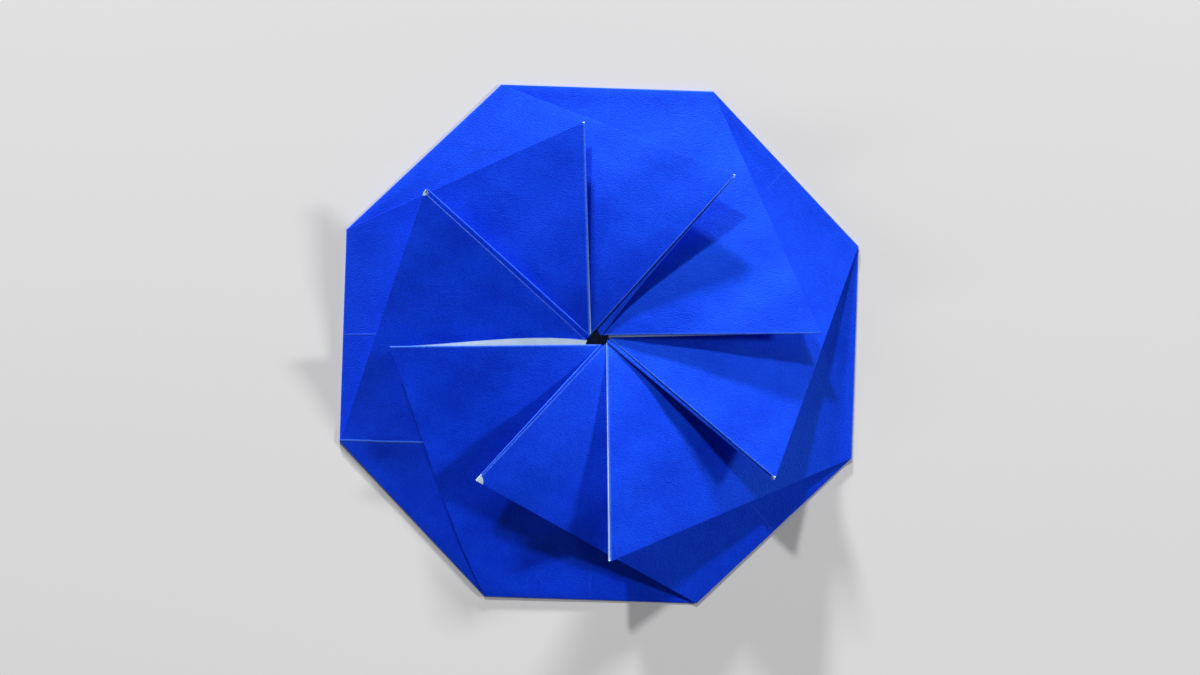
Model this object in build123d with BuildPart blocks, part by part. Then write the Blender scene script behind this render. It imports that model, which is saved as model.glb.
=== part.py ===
"""Eight-sided pouch folded from one square sheet of paper.

The square's four corners are turned in first, which makes the sheet an octagon.
Each of its eight edge strips is then folded over one side of the base, and the
slack between two strips is pleated at the corner that they share. Every pleat
lies on the strip before it and under the strip after it, so the eight loose
points turn round the middle like a pinwheel and hold each other shut.

Millimetres, +Z up. The origin is at the middle of the underside of the base.
"""

import os
from math import radians, sqrt, tan

from build123d import *

# The sheet
sheet_width = 150.0
paper = 0.08

# The fold: how far the strips stop short of meeting, and how high the paper
# stands at the hub and at the eight loose points once it has sprung back
hub_shortfall = 1.0
hub_height = 4.0
tip_height = 8.0

# How far a strip's loose edge bows up: at 0 it is straight, at 1 it leaves its point level
bow = 0.5

# Radius of a crease's rounded outside, as a share of the thickness that is folded
crease_roundness = 0.4

# The square has four edges and four corners, so the pouch has eight sides
square_corners = 4
sides = 2 * square_corners
half_turn = tan(radians(180 / sides))

# The base and a strip together reach from the sheet's middle to its edge
apothem = (sheet_width / 2 + hub_shortfall) / 2
side = 2 * apothem * half_turn
strip = sheet_width / 2 - apothem
corner_depth = sheet_width / 2 * half_turn

# A strip leans up, so from above it is shorter, and its end creases slant
reach = sqrt(strip**2 - ((hub_height + tip_height) / 2) ** 2)
lean = reach * half_turn

# One side seen from above: it lies along X, with the middle of the pouch at +Y
start_x = -side / 2
end_x = side / 2
tip_x = start_x - lean
pleat_hub_x = start_x + lean
hub_x = end_x - lean
hinge_y = -apothem
edge_y = hinge_y + reach

# Layers that are pressed flat share half a thickness, which makes them one
overlap = paper / 2
crease_height = 3 * paper / 2 - overlap
rim_thickness = 2 * paper - overlap
layer_inside = paper / 2 - overlap
layer_outside = 3 * paper / 2

# A strip's loose edge bows up from its point and dips to the hub, under the next pleat
bow_height = (tip_height + hub_height + bow * (tip_height - hub_height)) / 2
strip_hinge = [(start_x, crease_height), (end_x, crease_height)]
strip_edge = [(tip_x, tip_height), ((tip_x + hub_x) / 2, bow_height), (hub_x, hub_height)]

# A pleat is a flat triangle between a corner of the base, a loose point and the hub
base_corner = Vector(start_x, hinge_y, crease_height)
loose_point = Vector(tip_x, edge_y, tip_height)
pleat_hub = Vector(pleat_hub_x, edge_y, hub_height)


def paper_section(plane, curve, bottom, top):
    """The paper cut along a line of a panel.

    curve holds the (x, z) ends of a line, or the control points of an arc, in the
    middle of the panel's paper. bottom and top are heights over it.
    """
    with BuildSketch(plane) as section:
        with BuildLine():
            lower = Bezier(*[(x, z + bottom) for x, z in curve])
            upper = Bezier(*[(x, z + top) for x, z in curve])
            Line(lower @ 0, upper @ 0)
            Line(lower @ 1, upper @ 1)
        make_face()
    return section.sketch


def strip_panel(bottom=-paper / 2, top=paper / 2):
    """One edge strip, from its crease on the base to its loose edge."""
    with BuildPart() as panel:
        hinge = paper_section(Plane.XZ.offset(-hinge_y), strip_hinge, bottom, top)
        edge = paper_section(Plane.XZ.offset(-edge_y), strip_edge, bottom, top)
        loft([hinge, edge], ruled=True)
    return panel.part


def flat_panel(corners, bottom=-paper / 2, top=paper / 2):
    """Flat paper with these three corners."""
    first, second, third = [corner + Vector(0, 0, bottom) for corner in corners]
    plane = Plane(first, x_dir=second - first, z_dir=(second - first).cross(third - first))
    with BuildPart() as panel:
        with BuildSketch(plane):
            with BuildLine():
                Polyline(*[plane.to_local_coords(p) for p in (first, second, third)], close=True)
            make_face()
        extrude(amount=top - bottom, dir=(0, 0, 1))
    return panel.part


# A corner of the square is turned in at the loose edge of its strip and points back
# at the middle of the side. The next pleat's crease crosses it part of the way up.
corner_foot_y = edge_y - corner_depth * reach / strip
crossing = (side / 2 + strip - corner_depth) / (1 + half_turn) / strip
crossing_point = base_corner + (pleat_hub - base_corner) * crossing

# Pressed flat, it is a second layer under its strip and on the pleat behind that
with BuildPart() as corner_under_strip:
    with BuildSketch():
        with BuildLine():
            Polyline(
                (tip_x, edge_y),
                (hub_x, edge_y),
                (-crossing_point.X, crossing_point.Y),
                (0, corner_foot_y),
                close=True,
            )
        make_face()
    extrude(amount=2 * tip_height)
    add(strip_panel(-layer_outside, -layer_inside), mode=Mode.INTERSECT)
corner_on_pleat = flat_panel([crossing_point, loose_point, pleat_hub], layer_inside, layer_outside)


def crease(start, end, thickness):
    """The rounded outside of one straight crease in paper of this thickness."""
    run = end - start
    with BuildPart() as rounding:
        with BuildSketch(Plane(origin=start, z_dir=run)):
            Circle(crease_roundness * thickness)
        extrude(amount=run.length)
    return rounding.part


rim_start = Vector(start_x, hinge_y, rim_thickness / 2)
rim_end = Vector(end_x, hinge_y, rim_thickness / 2)
rim_crease = crease(rim_start, rim_end, rim_thickness)
point_crease = crease(base_corner, loose_point, paper)
pleat_crease = crease(base_corner, pleat_hub, paper)

# From the crossing to the hub, the turned-in corner wraps the pleat's crease
wrapped_crease = crease(crossing_point, pleat_hub, 2 * layer_outside)

pleat_panel = flat_panel([base_corner, loose_point, pleat_hub])
with BuildPart() as folded_sheet:
    with BuildSketch():
        RegularPolygon(apothem, sides, major_radius=False, rotation=180 / sides)
    extrude(amount=paper)
    with PolarLocations(0, sides):
        add([strip_panel(), pleat_panel, rim_crease, point_crease, pleat_crease])
    with PolarLocations(0, square_corners):
        add(corner_under_strip.part)
    with PolarLocations(0, square_corners, start_angle=360 / sides):
        add([corner_on_pleat, wrapped_crease])

folded_sheet.part.label = "folded_sheet"
os.makedirs("parts", exist_ok=True)
export_step(folded_sheet.part, "parts/folded_sheet.step")
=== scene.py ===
"""Render scene of an eight-sided pouch folded from one square sheet of paper.

The paper is one continuous mesh: the middle of the sheet is folded panel by panel and crease by
crease, and is then given its thickness. It has a coloured face, a white reverse, and cut edges
painted pale blue as bounce light from the coloured face. Lengths are millimetres and angles
radians unless a comment says otherwise, and the mesh is made in metres.
"""

from math import cos, exp, pi, radians, sin, tan
from typing import NamedTuple

import bmesh
import bpy
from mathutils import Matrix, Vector


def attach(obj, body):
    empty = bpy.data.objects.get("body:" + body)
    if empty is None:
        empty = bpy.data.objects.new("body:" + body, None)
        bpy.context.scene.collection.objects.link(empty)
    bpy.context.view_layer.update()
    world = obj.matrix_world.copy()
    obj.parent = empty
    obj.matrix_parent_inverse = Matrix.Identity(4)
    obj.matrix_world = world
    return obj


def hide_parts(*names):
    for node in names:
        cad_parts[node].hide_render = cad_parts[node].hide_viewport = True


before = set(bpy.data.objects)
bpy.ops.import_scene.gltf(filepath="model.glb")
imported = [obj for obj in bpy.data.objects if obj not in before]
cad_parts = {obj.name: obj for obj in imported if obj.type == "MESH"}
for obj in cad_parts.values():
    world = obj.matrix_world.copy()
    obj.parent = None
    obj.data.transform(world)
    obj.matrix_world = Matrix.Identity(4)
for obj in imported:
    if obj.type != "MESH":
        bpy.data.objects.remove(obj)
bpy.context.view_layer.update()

MM = 0.001

# The sheet and its crease pattern. Every second side has a corner of the square turned in
SIDES = 8
STEP = radians(360 / SIDES)
TURNED_IN = range(0, SIDES, 2)
SHEET_WIDTH = 150.0
APOTHEM = 38.0
STRIP = SHEET_WIDTH / 2 - APOTHEM
HALF_SIDE = APOTHEM * tan(STEP / 2)
LEAN = STRIP * tan(STEP / 2)
CORNER_DEPTH = SHEET_WIDTH / 2 * tan(STEP / 2)
THICKNESS = 0.08

# Two shares of the way up a strip: where the tip of its turned-in corner lies, and where
# the next pleat's crease crosses that corner
CORNER_FOOT = (STRIP - CORNER_DEPTH) / STRIP
CROSSING = (HALF_SIDE + STRIP - CORNER_DEPTH) / (STRIP + LEAN)

# Heights of the middle of the paper: in the base, and at a strip's crease on the base, which
# is higher by the tilt at its start and lower by it at its end
BASE_LEVEL = THICKNESS / 2
HINGE_LEVEL = 0.36
HINGE_TILT = 0.12

# Gaps between layers: at a turned-in corner, between a strip's loose edge and the pleat
# under it, and between a strip's hub end and the pleat over it
LAYER_GAP = 0.17
POINT_GAP = 0.36
CREASE_GAP = 0.14

# A strip's loose edge stays up along most of its length and is tucked down at the hub,
# and so is the pleat under it
TUCK = 0.5
TUCK_POWER = 14
PLEAT_TUCK_POWER = 5

# The powers with which a flap's bulge and sag fade out away from its ridge
BULGE_FADE = 3
SAG_FADE = 6

# Creases left in the strips from folding the sheet flat, along and aslant their middles.
# They are full a little way from the base and gone further up
MIDDLE_RISE = 0.3
MIDDLE_SPREAD = 4.0
SLANT_RISE = 0.4
SLANT_SPREAD = 3.0
OLD_CREASE_START = 4.0
OLD_CREASE_END = 20.0

# Beside its crease on the base, the paper is pressed a little flatter
PRESS_DEPTH = 0.7
PRESS_START = 5.0
PRESS_END = 12.0

# How far a flap's ridge stands out, as a share of a round crease's depth
RIDGE_DEPTH = 0.15

# The photograph: its frame, the pouch's place in it, and the camera straight above
FRAME_WIDTH = 1200
FRAME_HEIGHT = 675
MM_PER_PIXEL = 0.1492
CAMERA_HEIGHT = 450.0
CAMERA_ROLL = radians(2.1)
POUCH_COLUMN = 599.0
POUCH_ROW = 343.9
SENSOR_WIDTH = 36.0
CLIP_START = 10.0

# How finely the panels are divided, and how strongly the divisions crowd together: towards
# the ridge in strips and pleats, and towards the loose edge in their rows and a corner's
STRIP_COLUMNS = 38
PLEAT_COLUMNS = 14
PANEL_ROWS = 44
FOOT_ROWS = 12
CORNER_ROWS = 26
ARC_STEPS = 6
BASE_RINGS = 8
STRIP_CROWDING = 1.35
PLEAT_CROWDING = 1.3
ROW_CROWDING = 1.5
CORNER_CROWDING = 1.4

# Edges that bend more than this are drawn sharp
SHARP_ANGLE = radians(35)

# How pale the paper has worn along its cut edges and how far in from them, along its hems, and
# along the creases of the base. The same marks set how strongly the white face is painted blue
# there, as bounce light from the coloured face
EDGE_WEAR = 0.5
EDGE_SPREAD = 0.22
HEM_WEAR = 0.6
RIM_WEAR = 0.3

# How sharply the colour ends at a bare point
BARE_STEEPNESS = 2.2

# The slanting crease shows as a line only on a flap where it is strong
SLANT_LINE_POWER = 4


class Flap(NamedTuple):
    """A flap: one strip and the pleat at its start. Places are pixels of the photograph."""

    # Where its loose point and its hub end are seen, and how high they stand
    tip: tuple
    tip_height: float
    hub: tuple
    hub_height: float

    # How late its loose edge falls to the hub. At 1 it would be straight
    edge_power: float

    # How far its ridge bows out
    ridge_bow: float = 0.0

    # How far its pleat shows beyond its loose edge: at the point, and in a bow
    reveal: float = 0.0
    sliver_bow: float = 0.0

    # How far round its point the colour has come off
    bare: float = 0.0

    # How strong its old creases are: along its middle, where a dip is below 0, and aslant
    middle: float = 0.0
    slant: float = 0.0

    # How pale its ridge has worn
    worn_ridge: float = 0.0

    # How far its paper hangs beside the ridge. Below 0 it stands up
    sag: float = 0.0


# The first flap's strip is folded over the side at the bottom, and the rest follow anticlockwise
FLAPS = [
    Flap((390, 347), 7.5, (600.5, 345.2), 3.9, 2.4, 0.5333, sliver_bow=0.6, middle=0.1, sag=-0.2),
    Flap((477, 481), 8.4, (606.3, 343.2), 3.7, 1.75, reveal=0.14, bare=1.2, middle=0.15),
    Flap((611, 561), 8.2, (607.5, 342), 3.75, 2.0, reveal=0.4, middle=-0.8),
    Flap(
        (775, 478), 8.8, (609, 337.5), 3.8, 1.55,
        reveal=0.3, bare=0.4, middle=0.15, worn_ridge=0.5,
    ),
    Flap((820, 333), 8.4, (601.5, 334.5), 3.8, 2.4, middle=0.1),
    Flap((735, 175), 9.2, (591.2, 334), 3.6, 1.9, sliver_bow=-0.3, bare=0.22, slant=0.1),
    Flap((584, 122), 7.4, (589, 335.5), 3.7, 3.0, reveal=0.1, bare=0.25, middle=0.4, sag=-0.15),
    Flap((424, 192), 8.4, (586.5, 340), 3.8, 1.75, reveal=0.6, bare=0.65, middle=0.1, slant=1.0),
]


class Wave(NamedTuple):
    """One plane wave of the paper's unevenness. Its rates are radians a millimetre."""

    along_x: float
    along_y: float
    phase: float
    height: float


# Three long waves and two short ones. They reach their full height this far over the base
WAVES = [
    Wave(0.31, 0.27, 1.7, 0.04),
    Wave(0.31, -0.27, 0.9, 0.04),
    Wave(-0.42, 0.55, 2.0, 0.048),
    Wave(1.25, -0.3, pi / 2 - 0.7, 0.01),
    Wave(0.55, 1.3, 0.7 - pi / 2, 0.01),
]
WAVE_FADE = 3.0


def turned(x, y, angle):
    """The point (x, y) after a turn about the middle."""
    return Vector((x * cos(angle) - y * sin(angle), x * sin(angle) + y * cos(angle)))


def camera_place():
    """Where the camera stands over the pouch."""
    right = (FRAME_WIDTH / 2 - POUCH_COLUMN) * MM_PER_PIXEL
    up = (POUCH_ROW - FRAME_HEIGHT / 2) * MM_PER_PIXEL
    return turned(right, up, CAMERA_ROLL)


def from_photo(pixel, height):
    """The point at this height that the photograph shows at this pixel."""
    shrink = MM_PER_PIXEL * (CAMERA_HEIGHT - height) / CAMERA_HEIGHT
    right = (pixel[0] - FRAME_WIDTH / 2) * shrink
    up = (FRAME_HEIGHT / 2 - pixel[1]) * shrink
    return camera_place() + turned(right, up, CAMERA_ROLL)


def limited(value):
    """The value, but not below 0 or above 1."""
    return max(0.0, min(1.0, value))


def unevenness(place, height):
    """How far the paper strays from its panel's smooth shape. It is level on the base."""
    rise = 0.0
    for wave in WAVES:
        turn = wave.along_x * place.x + wave.along_y * place.y + wave.phase
        rise += wave.height * sin(turn)
    return rise * min(1.0, height / WAVE_FADE)


def pressed(b):
    """How far the paper is pressed down, this far up a strip."""
    y = STRIP * b
    return PRESS_DEPTH * (1 - exp(-y / PRESS_START)) * exp(-y / PRESS_END)


def bow(share):
    """A bow along a line: 0 at both ends, and 1 where it is highest, a third of the way."""
    return 27 / 4 * share * (1 - share) ** 2


def steps(count, power):
    """Shares from 0 to 1, closer together near 0."""
    return [(i / count) ** power for i in range(count + 1)]


def steps_to_end(count, power):
    """Shares from 0 to 1, closer together near 1."""
    return [1 - share for share in reversed(steps(count, power))]


STRIP_SHARES = steps(STRIP_COLUMNS, STRIP_CROWDING)
PLEAT_SHARES = steps_to_end(PLEAT_COLUMNS, PLEAT_CROWDING)
ROW_SHARES = steps_to_end(PANEL_ROWS, ROW_CROWDING)


class Paper:
    """The middle of the sheet, as vertices and faces.

    Each vertex keeps its place on the flat sheet (flat), its place from the middle of its side's
    crease (side), how pale it has worn and how bare it is (marks), and how strongly the old
    creases show as lines (creases). The wear also sets a painted blue bounce light on the white
    face.
    """

    def __init__(self):
        self.points = []
        self.flat = []
        self.side = []
        self.marks = []
        self.creases = []
        self.faces = []

    def vertex(self, point, side, flat, worn=0.0, bare=0.0, creases=(0.0, 0.0)):
        """Add a vertex and return its number."""
        self.points.append(point)
        self.side.append(side)
        self.flat.append(flat)
        self.marks.append((worn, bare))
        self.creases.append(creases)
        return len(self.points) - 1

    def grid(self, rows):
        """Faces between rows of vertices. A row may be a single point."""
        for lower, upper in zip(rows, rows[1:]):
            for start in range(max(len(lower), len(upper)) - 1):
                corners = []
                corners += lower[start : start + 2] if len(lower) > 1 else lower
                corners += reversed(upper[start : start + 2]) if len(upper) > 1 else upper
                self.faces.append(corners)

    def fold(self, first, second, outward, wear=0.0, depth=1.0):
        """A rounded crease between two rows of vertices. It returns every row across it."""
        rows = [first]
        for step in range(1, ARC_STEPS):
            angle = pi * step / ARC_STEPS
            pairs = zip(first, second)
            reach = outward * depth
            rows.append([self.fold_vertex(a, b, reach, angle, wear) for a, b in pairs])
        rows.append(second)
        self.grid(rows)
        return rows

    def fold_vertex(self, first, second, outward, angle, wear):
        """A vertex of the half circle between two vertices, this far round it."""
        middle = (self.points[first] + self.points[second]) / 2
        arm = self.points[first] - middle
        point = middle + arm * cos(angle) + outward * arm.length * sin(angle)
        bare = self.marks[first][1]
        return self.vertex(point, self.side[first], self.flat[first], wear * sin(angle), bare)

    def fan(self, ring):
        """Faces from a ring of vertices to one in its middle."""
        ring = [v for i, v in enumerate(ring) if v != ring[i - 1]]
        middle = sum((self.points[v] for v in ring), Vector((0, 0, 0))) / len(ring)
        first = ring[0]
        centre = self.vertex(middle, self.side[first], self.flat[first], *self.marks[first])
        for first, second in zip(ring, ring[1:] + ring[:1]):
            self.faces.append([centre, first, second])


def away(start, end, body):
    """The level direction across a line, pointing away from a point of the paper."""
    across = Vector((end.y - start.y, start.x - end.x)).normalized()
    if across.dot(body - start) > 0:
        across = -across
    return Vector((across.x, across.y, 0))


class Side:
    """One side of the pouch: its strip, and the pleat at the corner where the strip starts.

    On a strip, s runs from its ridge, where it starts, to its end. On a pleat, across runs
    from the last strip's end to the ridge. On both, b runs from the base to the loose edge.
    """

    def __init__(self, number):
        flap = FLAPS[number]
        before = FLAPS[number - 1]
        self.flap = flap
        self.turn = STEP * number
        self.start = turned(-HALF_SIDE, -APOTHEM, self.turn)
        self.end = turned(HALF_SIDE, -APOTHEM, self.turn)
        self.tip = from_photo(flap.tip, flap.tip_height)
        self.hub = from_photo(flap.hub, flap.hub_height)
        self.last_hub = from_photo(before.hub, before.hub_height)
        self.last_hub_height = before.hub_height
        run = self.hub - self.tip
        self.pass_over = (self.last_hub - self.tip).dot(run) / run.length_squared
        self.ridge_out = away(self.start, self.tip, self.end)
        self.edge_out = away(self.tip, self.hub, self.start)
        self.pleat_tip = self.tip + self.edge_out.to_2d() * flap.reveal

    def edge_height(self, s):
        """Height of the strip's loose edge, from its point to the hub."""
        flap = self.flap
        rise = (flap.tip_height - flap.hub_height - TUCK) * (1 - s**flap.edge_power)
        return flap.hub_height + rise + TUCK * (1 - s**TUCK_POWER)

    def pleat_height(self, across):
        """Height of the pleat's loose edge, from the hub to its point."""
        share = (1 - across) ** PLEAT_TUCK_POWER
        strip_over = self.edge_height(self.pass_over * (1 - across))
        hub_drop = self.edge_height(self.pass_over) - self.last_hub_height - CREASE_GAP
        return strip_over - POINT_GAP * (1 - share) - hub_drop * share

    def bulge(self, b):
        """How far and which way the ridge bows out, this far up it."""
        return self.ridge_out.to_2d() * self.flap.ridge_bow * bow(b)

    def strip_point(self, s, b, drop=0.0):
        """A point of the strip, or one this far under it."""
        hinge = self.start.lerp(self.end, s)
        edge = self.tip.lerp(self.hub, s)
        place = hinge.lerp(edge, b) + self.bulge(b) * (1 - s) ** BULGE_FADE
        hinge_height = HINGE_LEVEL + HINGE_TILT * (1 - 2 * s)
        lift = b ** (1 + self.flap.sag * (1 - s) ** SAG_FADE)
        height = hinge_height * (1 - b) + self.edge_height(s) * lift
        height += self.crease_rise(s, b) - pressed(b)
        return Vector((place.x, place.y, height + unevenness(place, height) - drop))

    def crease_rise(self, s, b):
        """How far old creases, from folding the sheet flat, still stand up."""
        x, y = strip_place(s, b)
        slant = abs(x + HALF_SIDE - y)
        near = limited(y / OLD_CREASE_START) * limited(1 - y / OLD_CREASE_END)
        rise = SLANT_RISE * self.flap.slant * exp(-slant / SLANT_SPREAD)
        rise += MIDDLE_RISE * self.flap.middle * exp(-abs(x) / MIDDLE_SPREAD)
        return near * rise

    def pleat_point(self, across, b, lift=0.0):
        """A point of the pleat, or one this far over it."""
        edge = self.last_hub.lerp(self.pleat_tip, across)
        edge += self.edge_out.to_2d() * self.flap.sliver_bow * bow(across)
        place = self.start.lerp(edge, b) + self.bulge(b) * across**BULGE_FADE
        rise = b ** (1 + self.flap.sag * across)
        height = HINGE_LEVEL * (1 - b) + self.pleat_height(across) * rise - pressed(b)
        return Vector((place.x, place.y, height + unevenness(place, height) + lift))

    def on_flat(self, x, y):
        """Where a place of this side, from the middle of its crease, is on the flat sheet."""
        return turned(x, -APOTHEM - y, self.turn)

    def bareness(self, point):
        """How far the colour has come off, which it has only at some loose points."""
        if not self.flap.bare:
            return 0.0
        distance = (point.to_2d() - self.tip).length / self.flap.bare
        return limited(BARE_STEEPNESS * (1 - distance))


def strip_place(s, b):
    """Where a point of a strip is on the flat sheet, from the middle of its crease."""
    return -HALF_SIDE - LEAN * b + 2 * HALF_SIDE * s, STRIP * b


def strip_share(x, b):
    """How far along its strip a point is, from its place on the flat sheet."""
    return (x + HALF_SIDE + LEAN * b) / (2 * HALF_SIDE)


def pleat_place(across, b):
    """Where a point of a pleat is on the flat sheet, from the middle of the last crease."""
    return HALF_SIDE + LEAN * b * (2 * across - 1), STRIP * b


def edge_wear_and_bounce(y):
    """How pale the paper has worn this far from its crease on the base, near its loose edge,
    which also sets how strongly its white face is painted with blue bounce light.
    """
    return EDGE_WEAR * max(0.0, 1 - (STRIP - y) / EDGE_SPREAD)


def add_strip(paper, side):
    """A side's strip, as rows of vertices from the base up."""
    line_strengths = (max(0.0, side.flap.middle), side.flap.slant**SLANT_LINE_POWER)
    rows = []
    for b in ROW_SHARES:
        row = []
        for s in STRIP_SHARES:
            point = side.strip_point(s, b)
            x, y = strip_place(s, b)
            marks = (edge_wear_and_bounce(y), side.bareness(point), line_strengths)
            row.append(paper.vertex(point, (x, y), side.on_flat(x, y), *marks))
        rows.append(row)
    paper.grid(rows)
    return rows


def add_pleat(paper, side, last):
    """The pleat between a side's strip and the last one, as rows from the base up."""
    rows = []
    for b in ROW_SHARES:
        row = []
        for across in PLEAT_SHARES if b > 0 else [0]:
            point = side.pleat_point(across, b)
            x, y = pleat_place(across, b)
            marks = (edge_wear_and_bounce(y), side.bareness(point))
            row.append(paper.vertex(point, (x, y), last.on_flat(x, y), *marks))
        rows.append(row)
    paper.grid(rows)
    return rows


def corner_rows():
    """Rows of a turned-in corner: up to the next pleat's crease, and from there to the hem."""
    foot = [CORNER_FOOT + (CROSSING - CORNER_FOOT) * i / FOOT_ROWS for i in range(FOOT_ROWS)]
    shares = steps_to_end(CORNER_ROWS, CORNER_CROWDING)
    return foot, [CROSSING + (1 - CROSSING) * share for share in shares]


def add_corner_under_strip(paper, side):
    """The part of a turned-in corner under its strip, as rows up to the loose edge."""
    foot, rest = corner_rows()
    rows = []
    for b in foot + rest:
        half_width = STRIP * (b - CORNER_FOOT)
        left = limited(strip_share(-half_width, b))
        right = limited(strip_share(half_width, b))
        row = []
        for share in STRIP_SHARES if b > CORNER_FOOT else [0]:
            s = left + (right - left) * share
            point = side.strip_point(s, b, drop=LAYER_GAP)
            x, y = strip_place(s, b)
            beyond = 2 * STRIP - y
            row.append(paper.vertex(point, (x, beyond), side.on_flat(x, beyond)))
        rows.append(row)
    paper.grid(rows)
    return rows


def add_corner_on_pleat(paper, side, last):
    """The part of the last side's corner on this side's pleat, as rows up to the loose edge."""
    rows = []
    for b in corner_rows()[1]:
        reach = ((STRIP + LEAN) * b - HALF_SIDE - STRIP + CORNER_DEPTH) / (2 * LEAN * b)
        row = []
        for share in PLEAT_SHARES if b > CROSSING else [0]:
            across = reach * share
            point = side.pleat_point(across, b, lift=LAYER_GAP)
            x, y = pleat_place(across, b)
            beyond = 2 * STRIP - y
            bare = side.bareness(point)
            row.append(paper.vertex(point, (x, beyond), last.on_flat(x, beyond), bare=bare))
        rows.append(row)
    paper.grid(rows)
    return rows


def base_row(paper, number, share):
    """One side's part of a ring round the middle of the base, at this share of its radius."""
    row = []
    for s in STRIP_SHARES[:-1]:
        x = (2 * s - 1) * HALF_SIDE * share
        y = -APOTHEM * share
        place = turned(x, y, STEP * number)
        point = Vector((place.x, place.y, BASE_LEVEL))
        row.append(paper.vertex(point, (x, -APOTHEM - y), place))
    return row


def add_base(paper):
    """The base, in rings. It returns the outer row of each side."""
    rings = []
    for ring in range(BASE_RINGS):
        share = 1 - ring / BASE_RINGS
        rings.append([base_row(paper, number, share) for number in range(SIDES)])
    closed = []
    for rows in rings:
        joined = sum(rows, [])
        closed.append(joined + joined[:1])
    middle = paper.vertex(Vector((0, 0, BASE_LEVEL)), (0, -APOTHEM), Vector((0, 0)))
    paper.grid(closed + [[middle]])
    outer = rings[0]
    return [outer[i] + outer[(i + 1) % SIDES][:1] for i in range(SIDES)]


def column(rows, index):
    """The vertices at one place in every row."""
    return [row[index] for row in rows]


class FoldedSheet:
    """The whole sheet: its panels, and the creases that join them."""

    def __init__(self):
        self.paper = Paper()
        self.sides = [Side(number) for number in range(SIDES)]
        self.rims = []
        self.ridges = []
        self.creases = []
        self.add_panels()
        for number in range(SIDES):
            self.fold_side(number)
        for number in range(SIDES):
            self.close_base_corner(number)
        for number in TURNED_IN:
            self.hem_corner(number)

    def add_panels(self):
        """The base, the strips and the pleats, and the corners that are turned in."""
        paper, sides = self.paper, self.sides
        self.base = add_base(paper)
        self.strips = [add_strip(paper, side) for side in sides]
        self.pleats = [add_pleat(paper, side, sides[i - 1]) for i, side in enumerate(sides)]
        self.under = {}
        self.over = {}
        for i in TURNED_IN:
            self.under[i] = add_corner_under_strip(paper, sides[i])
            self.over[i] = add_corner_on_pleat(paper, sides[i + 1], sides[i])

    def fold_side(self, i):
        """A side's creases: on the base, along its ridge, and at the hub end of its pleat."""
        side, paper = self.sides[i], self.paper
        strip, pleat, last_strip = self.strips[i], self.pleats[i], self.strips[i - 1]
        rim_out = away(side.start, side.end, side.hub)
        crease_out = away(side.start, side.last_hub, side.tip)
        ridge = (column(pleat, -1), column(strip, 0), side.ridge_out)
        self.rims.append(paper.fold(self.base[i], strip[0], rim_out, RIM_WEAR))
        self.ridges.append(paper.fold(*ridge, side.flap.worn_ridge, RIDGE_DEPTH))
        self.creases.append(paper.fold(column(last_strip, -1), column(pleat, 0), crease_out))

    def close_base_corner(self, i):
        """Close the gap between the four creases that meet at a corner of the base."""
        ring = column(self.rims[i - 1], -1) + column(self.creases[i], 0)
        ring += column(self.ridges[i], 0) + column(reversed(self.rims[i]), 0)
        self.paper.fan(ring)

    def hem_corner(self, i):
        """Join a turned-in corner to its strip and pleat, and wrap it round their crease."""
        side, after, paper = self.sides[i], self.sides[i + 1], self.paper
        strip, pleat = self.strips[i], self.pleats[i + 1]
        under, over = self.under[i], self.over[i]
        pleat_out = away(after.last_hub, after.tip, after.start)
        wrap_out = away(after.start, after.last_hub, after.tip)
        hem = paper.fold(strip[-1], under[-1], side.edge_out, HEM_WEAR)
        pleat_hem = paper.fold(pleat[-1], over[-1], pleat_out, HEM_WEAR)
        wrap = paper.fold(column(under[FOOT_ROWS:], -1), column(over, 0), wrap_out)
        hub_ring = column(self.creases[i + 1], -1) + column(pleat_hem, 0)
        hub_ring += column(reversed(wrap), -1) + column(reversed(hem), -1)
        paper.fan(hub_ring)
        paper.fan(column(reversed(hem), 0) + column(reversed(self.ridges[i]), -1))
        paper.fan(column(reversed(self.ridges[i + 1]), -1) + column(pleat_hem, -1))


def turn_face_outwards(mesh):
    """Turn the faces so that the coloured one is outside, as on the underside of the base."""
    work = bmesh.new()
    work.from_mesh(mesh)
    bmesh.ops.recalc_face_normals(work, faces=work.faces)
    underside = min(work.faces, key=lambda face: face.calc_center_median().length)
    if underside.normal.z > 0:
        bmesh.ops.reverse_faces(work, faces=work.faces)
    work.to_mesh(mesh)
    work.free()


def middle_mesh(paper):
    """The folded sheet without thickness, with what its materials read at each vertex."""
    mesh = bpy.data.meshes.new("folded_paper")
    mesh.from_pydata([p * MM for p in paper.points], [], paper.faces)
    for name in ("flat", "side", "marks", "creases"):
        attribute = mesh.attributes.new(name, "FLOAT_VECTOR", "POINT")
        for item, value in zip(attribute.data, getattr(paper, name)):
            item.vector = (value[0], value[1], 0.0)
    turn_face_outwards(mesh)
    return mesh


def thicken(mesh, materials):
    """A closed mesh of the paper, with its thickness and its faces' materials."""
    rough = bpy.data.objects.new("unfinished_paper", mesh)
    bpy.context.scene.collection.objects.link(rough)
    for material in materials:
        mesh.materials.append(material)
    solidify = rough.modifiers.new("thickness", "SOLIDIFY")
    solidify.thickness = THICKNESS * MM
    solidify.offset = 0
    solidify.material_offset = 1
    solidify.material_offset_rim = 1
    bpy.context.view_layer.update()
    seen = rough.evaluated_get(bpy.context.evaluated_depsgraph_get())
    solid = bpy.data.meshes.new_from_object(seen)
    solid.name = "folded_paper_solid"
    bpy.data.objects.remove(rough)
    for polygon in solid.polygons:
        polygon.use_smooth = True
    solid.set_sharp_from_angle(angle=SHARP_ANGLE)
    sheet = bpy.data.objects.new("paper_sheet", solid)
    bpy.context.scene.collection.objects.link(sheet)
    return sheet


class Noise(NamedTuple):
    """A noise texture, and its share in the coloured face's tone."""

    scale: float
    detail: float
    roughness: float
    share: float = 0.0


class Relief(NamedTuple):
    """A bump: its strength, and its depth in metres."""

    strength: float
    depth: float


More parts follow.
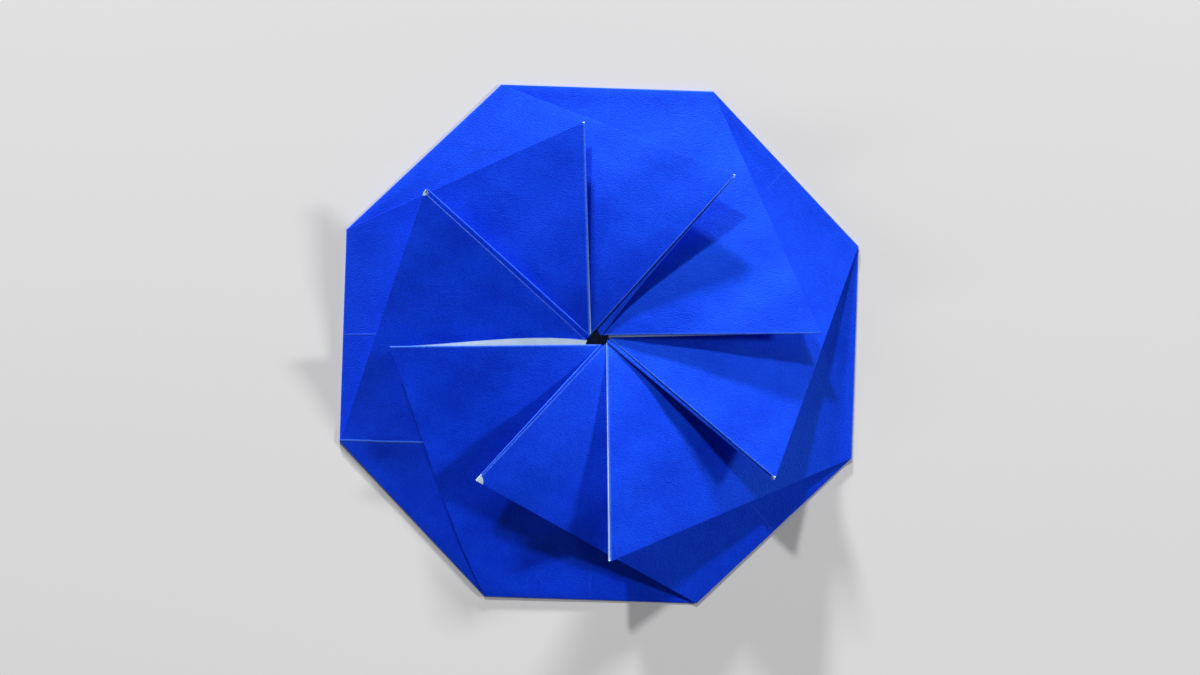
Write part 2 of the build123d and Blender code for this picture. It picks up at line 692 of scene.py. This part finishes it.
# The coloured face: its two blues and the tones between which they blend
BLUE = (0.001, 0.032, 0.84, 1)
BLUE_DEEP = (0.0002, 0.010, 0.70, 1)
CLOUD = Noise(0.16, 2.0, 0.5, share=0.7)
MOTTLE = Noise(0.7, 3.0, 0.6, share=0.8)
GRAIN = Noise(2.4, 3.0, 0.7, share=1.1)
SPECKLE = Noise(5.5, 1.0, 0.5, share=0.7)
TONES = (1.25, 2.05)

# Its sheen and its relief
SHEEN_TINT = (0.12, 0.84, 1.0, 1)
SHEEN_INDEX = 1.54
SHEEN_LEVEL = 0.7
BLUE_ROUGHNESS = (0.50, 0.68)
GRAIN_RELIEF = Relief(0.4, 0.0001)
SPECKLE_RELIEF = Relief(0.65, 0.00009)
LINE_RELIEF = Relief(0.6, 0.0001)

# Where it has worn: paler along creases, broken up by the grain, and bare at some points
BLUE_WORN = (0.12, 0.30, 0.90, 1)
BARE_PAPER = (0.62, 0.76, 0.84, 1)
WEAR_RANGE = (0.05, 0.9)
WEAR_BREAKS = (0.65, 1.0)
BARE_RANGE = (0.4, 0.6)
BARE_RAGGEDNESS = 0.3

# Lines of the old creases: how they wander, how wide they are, how far up a strip they
# fade, and what is left of them there
LINE_PATH = Noise(0.35, 2.0, 0.5)
LINE_WANDER = 0.3
LINE_STRENGTH = 0.32
LINE_REST = 0.1
MIDDLE_LINE = (0.06, 0.22)
MIDDLE_LINE_FADE = (3.5, 7.5)
SLANT_LINE = (0.08, 0.3)
SLANT_LINE_FADE = (8.0, 14.0)

# The white reverse, and a pale blue painted on its cut edges and the white beside them as bounce
# light from the coloured face
WHITE_PAPER = (0.72, 0.87, 0.92, 1)
WHITE_SHADE = (0.64, 0.78, 0.84, 1)
# Painted bounce light: the pale blue that the cut edges and the white beside them take
EDGE_BOUNCE_BLUE = (0.16, 0.38, 0.88, 1)
FIBRE = Noise(2.6, 5.0, 0.7)
WHITE_CLOUD = Noise(0.4, 2.0, 0.5)
WHITE_TONES = (0.7, 1.3)
EDGE_BOUNCE_RANGE = (0.25, 0.5)
EDGE_BOUNCE_SHARE = 0.95
WHITE_ROUGHNESS = (0.75, 0.9)
FIBRE_RELIEF = Relief(0.4, 0.00005)

# The parts of a noise's range that are used
NOISE_MIDDLE = 0.5
GRAIN_RANGE = (0.35, 0.65)
SPECKLE_RANGE = (0.3, 0.7)
FIBRE_RANGE = (0.2, 0.8)

# The colour sockets of a mix node
MIX_SHARE, MIX_FIRST, MIX_SECOND = 0, 6, 7
MIX_RESULT = 2


class Graph:
    """A material's nodes, joined as they are made."""

    def __init__(self, name):
        self.material = bpy.data.materials.new(name)
        self.material.use_nodes = True
        self.tree = self.material.node_tree
        self.shader = self.tree.nodes["Principled BSDF"]

    def feed(self, socket, value):
        """Link a socket to another node's output, or set its value."""
        if isinstance(value, bpy.types.NodeSocket):
            self.tree.links.new(value, socket)
        else:
            socket.default_value = value

    def shade(self, **values):
        """Feed the shader's sockets. A socket's name is written with _ for its spaces."""
        for name, value in values.items():
            self.feed(self.shader.inputs[name.replace("_", " ")], value)

    def node(self, kind, inputs, **settings):
        """A node with these settings and inputs."""
        node = self.tree.nodes.new(kind)
        for name, value in settings.items():
            setattr(node, name, value)
        for key, value in inputs.items():
            self.feed(node.inputs[key], value)
        return node

    def math(self, operation, first, second=0.0):
        """The result of a sum on one value or two."""
        return self.node("ShaderNodeMath", {0: first, 1: second}, operation=operation).outputs[0]

    def attribute(self, name):
        """What each vertex keeps under this name."""
        return self.node("ShaderNodeAttribute", {}, attribute_name=name).outputs["Vector"]

    def parts(self, name):
        """The two values that each vertex keeps under this name."""
        parts = self.node("ShaderNodeSeparateXYZ", {0: self.attribute(name)})
        return parts.outputs["X"], parts.outputs["Y"]

    def noise(self, place, noise):
        """A noise at this place."""
        inputs = {
            "Vector": place,
            "Scale": noise.scale,
            "Detail": noise.detail,
            "Roughness": noise.roughness,
        }
        return self.node("ShaderNodeTexNoise", inputs).outputs["Fac"]

    def sway(self, noise, reach):
        """How far a noise is from its middle, times this reach."""
        return self.math("MULTIPLY", self.math("SUBTRACT", noise, NOISE_MIDDLE), reach)

    def ramp(self, value, span, ends=(0.0, 1.0)):
        """A smooth step between these ends, as the value goes through this span."""
        inputs = {
            "Value": value,
            "From Min": span[0],
            "From Max": span[1],
            "To Min": ends[0],
            "To Max": ends[1],
        }
        return self.node("ShaderNodeMapRange", inputs, interpolation_type="SMOOTHSTEP").outputs[0]

    def blend(self, share, first, second):
        """A colour this share of the way from the first to the second."""
        inputs = {MIX_SHARE: share, MIX_FIRST: first, MIX_SECOND: second}
        return self.node("ShaderNodeMix", inputs, data_type="RGBA").outputs[MIX_RESULT]

    def bump(self, height, relief, normal=None):
        """The surface's normal with this relief, over the relief it may have already."""
        inputs = {"Height": height, "Strength": relief.strength, "Distance": relief.depth}
        if normal:
            inputs["Normal"] = normal
        return self.node("ShaderNodeBump", inputs).outputs["Normal"]


def old_line(graph, distance, width, y, fade, strength):
    """A thin line where this distance is 0. It fades with y, the way up the strip."""
    left = graph.math("MULTIPLY", graph.ramp(y, fade, (1.0, LINE_REST)), strength)
    line = graph.ramp(graph.math("ABSOLUTE", distance), width, (1.0, 0.0))
    return graph.math("MULTIPLY", line, left)


def old_lines(graph):
    """Thin lines where the flat sheet was creased and opened again."""
    x, y = graph.parts("side")
    middle_strength, slant_strength = graph.parts("creases")
    wander = graph.sway(graph.noise(graph.attribute("side"), LINE_PATH), LINE_WANDER)
    middle = graph.math("ADD", x, wander)
    aslant = graph.math("SUBTRACT", graph.math("ADD", x, HALF_SIDE), y)
    slant = graph.math("ADD", aslant, wander)
    middle_line = old_line(graph, middle, MIDDLE_LINE, y, MIDDLE_LINE_FADE, middle_strength)
    slant_line = old_line(graph, slant, SLANT_LINE, y, SLANT_LINE_FADE, slant_strength)
    return graph.math("MAXIMUM", middle_line, slant_line)


def worn_colour(graph, colour, lines, grain):
    """The coloured face's colour, with its old lines, its worn creases and its bare points."""
    worn, bare = graph.parts("marks")
    colour = graph.blend(graph.math("MULTIPLY", lines, LINE_STRENGTH), colour, BLUE_WORN)
    breaks = graph.ramp(grain, GRAIN_RANGE, WEAR_BREAKS)
    wear = graph.math("MULTIPLY", graph.ramp(worn, WEAR_RANGE), breaks)
    colour = graph.blend(wear, colour, BLUE_WORN)
    ragged = graph.math("ADD", bare, graph.sway(grain, BARE_RAGGEDNESS))
    return graph.blend(graph.ramp(ragged, BARE_RANGE), colour, BARE_PAPER)


def coloured_face():
    """The sheet's coloured face: satin, faintly mottled, and worn pale along its creases."""
    graph = Graph("blue_paper")
    flat = graph.attribute("flat")
    noises = {kind: graph.noise(flat, kind) for kind in (CLOUD, MOTTLE, GRAIN, SPECKLE)}
    tone = 0.0
    for kind, noise in noises.items():
        tone = graph.math("ADD", tone, graph.math("MULTIPLY", noise, kind.share))
    grain, speckle = noises[GRAIN], noises[SPECKLE]
    blue = graph.blend(graph.ramp(tone, TONES), BLUE_DEEP, BLUE)
    lines = old_lines(graph)
    normal = graph.bump(grain, GRAIN_RELIEF)
    normal = graph.bump(speckle, SPECKLE_RELIEF, normal)
    normal = graph.bump(lines, LINE_RELIEF, normal)
    graph.shade(Base_Color=worn_colour(graph, blue, lines, grain))
    graph.shade(Roughness=graph.ramp(speckle, SPECKLE_RANGE, BLUE_ROUGHNESS), Normal=normal)
    graph.shade(IOR=SHEEN_INDEX, Specular_IOR_Level=SHEEN_LEVEL, Specular_Tint=SHEEN_TINT)
    return graph.material


def white_face():
    """The sheet's reverse, which is matt white fibres, and its cut edges, which are painted pale
    blue as bounce light.
    """
    graph = Graph("white_paper")
    flat = graph.attribute("flat")
    fibre = graph.noise(flat, FIBRE)
    cloud = graph.noise(flat, WHITE_CLOUD)
    tone = graph.ramp(graph.math("ADD", fibre, cloud), WHITE_TONES)
    # Painted bounce light: the white turns blue where the paper is worn, along its cut edges and
    # creases
    edge_bounce = graph.ramp(graph.parts("marks")[0], EDGE_BOUNCE_RANGE, (0.0, EDGE_BOUNCE_SHARE))
    white = graph.blend(tone, WHITE_SHADE, WHITE_PAPER)
    graph.shade(Base_Color=graph.blend(edge_bounce, white, EDGE_BOUNCE_BLUE))
    graph.shade(Roughness=graph.ramp(fibre, FIBRE_RANGE, WHITE_ROUGHNESS))
    graph.shade(Normal=graph.bump(fibre, FIBRE_RELIEF))
    return graph.material


def make_sheet():
    """The pouch: one piece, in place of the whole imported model."""
    folded = FoldedSheet()
    sheet = thicken(middle_mesh(folded.paper), [coloured_face(), white_face()])
    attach(sheet, "root")
    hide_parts("folded_sheet")


# The floor, in metres. It is a little over the base's underside and inside its paper, so
# that the two faces don't coincide
FLOOR_HALF_WIDTH = 1.6
FLOOR_LEVEL = 0.02 * MM
FLOOR_CORNERS = [(-1, -1), (1, -1), (1, 1), (-1, 1)]
FLOOR_PALE = (0.74, 0.74, 0.74, 1)
FLOOR_SHADE = (0.70, 0.70, 0.70, 1)
FLOOR_CLOUD = Noise(6.0, 2.0, 0.5)
FLOOR_ROUGHNESS = 0.9


def make_floor():
    """A plain pale floor without gloss."""
    mesh = bpy.data.meshes.new("floor")
    reach = FLOOR_HALF_WIDTH
    corners = [(x * reach, y * reach, FLOOR_LEVEL) for x, y in FLOOR_CORNERS]
    mesh.from_pydata(corners, [], [(0, 1, 2, 3)])
    floor = bpy.data.objects.new("floor", mesh)
    bpy.context.scene.collection.objects.link(floor)
    graph = Graph("floor_paint")
    place = graph.node("ShaderNodeTexCoord", {}).outputs["Object"]
    cloud = graph.noise(place, FLOOR_CLOUD)
    graph.shade(Base_Color=graph.blend(cloud, FLOOR_SHADE, FLOOR_PALE))
    graph.shade(Roughness=FLOOR_ROUGHNESS, Specular_IOR_Level=0.0)
    mesh.materials.append(graph.material)


class Lamp(NamedTuple):
    """A soft square lamp, aimed at the pouch."""

    # Degrees: round from +X, and up from the floor
    bearing: float
    height: float

    # Metres and watts
    size: float
    power: float


LAMP_DISTANCE = 1.5
LAMPS = {
    "back_lamp": Lamp(101, 12, 0.10, 30),
    "high_lamp": Lamp(108, 36, 0.10, 13.5),
    "left_lamp": Lamp(200, 20, 0.40, 4.0),
    "right_lamp": Lamp(10, 26, 0.16, 12.5),
}

# The light from all round, and the background that the camera sees
SOFT_LIGHT = (1, 1, 1, 1)
SOFT_STRENGTH = 0.04
BACKGROUND = (0.8, 0.8, 0.8, 1)


def add_lamp(name, lamp):
    """Put up a lamp."""
    data = bpy.data.lights.new(name, "AREA")
    data.shape = "SQUARE"
    data.size = lamp.size
    data.energy = lamp.power
    turn, tilt = radians(lamp.bearing), radians(lamp.height)
    place = Vector((cos(turn) * cos(tilt), sin(turn) * cos(tilt), sin(tilt))) * LAMP_DISTANCE
    stand = bpy.data.objects.new(name, data)
    stand.location = place
    stand.rotation_euler = (-place).to_track_quat("-Z", "Y").to_euler()
    bpy.context.scene.collection.objects.link(stand)


def light_world():
    """Faint light from all round, with a pale background."""
    world = bpy.data.worlds.new("studio")
    bpy.context.scene.world = world
    world.use_nodes = True
    nodes = world.node_tree.nodes
    links = world.node_tree.links
    soft = nodes["Background"]
    soft.inputs["Color"].default_value = SOFT_LIGHT
    soft.inputs["Strength"].default_value = SOFT_STRENGTH
    seen = nodes.new("ShaderNodeBackground")
    seen.inputs["Color"].default_value = BACKGROUND
    seen.inputs["Strength"].default_value = 1.0
    path = nodes.new("ShaderNodeLightPath")
    mix = nodes.new("ShaderNodeMixShader")
    links.new(path.outputs["Is Camera Ray"], mix.inputs[0])
    links.new(soft.outputs[0], mix.inputs[1])
    links.new(seen.outputs[0], mix.inputs[2])
    links.new(mix.outputs[0], nodes["World Output"].inputs["Surface"])


def light_scene():
    """The lamps and the world's light."""
    for name, lamp in LAMPS.items():
        add_lamp(name, lamp)
    light_world()


def place_camera():
    """A camera straight above the pouch, which frames it as the photograph does."""
    data = bpy.data.cameras.new("camera")
    data.sensor_width = SENSOR_WIDTH
    data.lens = data.sensor_width * CAMERA_HEIGHT / (FRAME_WIDTH * MM_PER_PIXEL)
    data.clip_start = CLIP_START * MM
    camera = bpy.data.objects.new("camera", data)
    place = camera_place()
    camera.location = (place.x * MM, place.y * MM, CAMERA_HEIGHT * MM)
    camera.rotation_euler = (0, 0, CAMERA_ROLL)
    bpy.context.scene.collection.objects.link(camera)
    bpy.context.scene.camera = camera


place_camera()
make_sheet()
make_floor()
light_scene()
bpy.context.scene.view_settings.view_transform = "Standard"
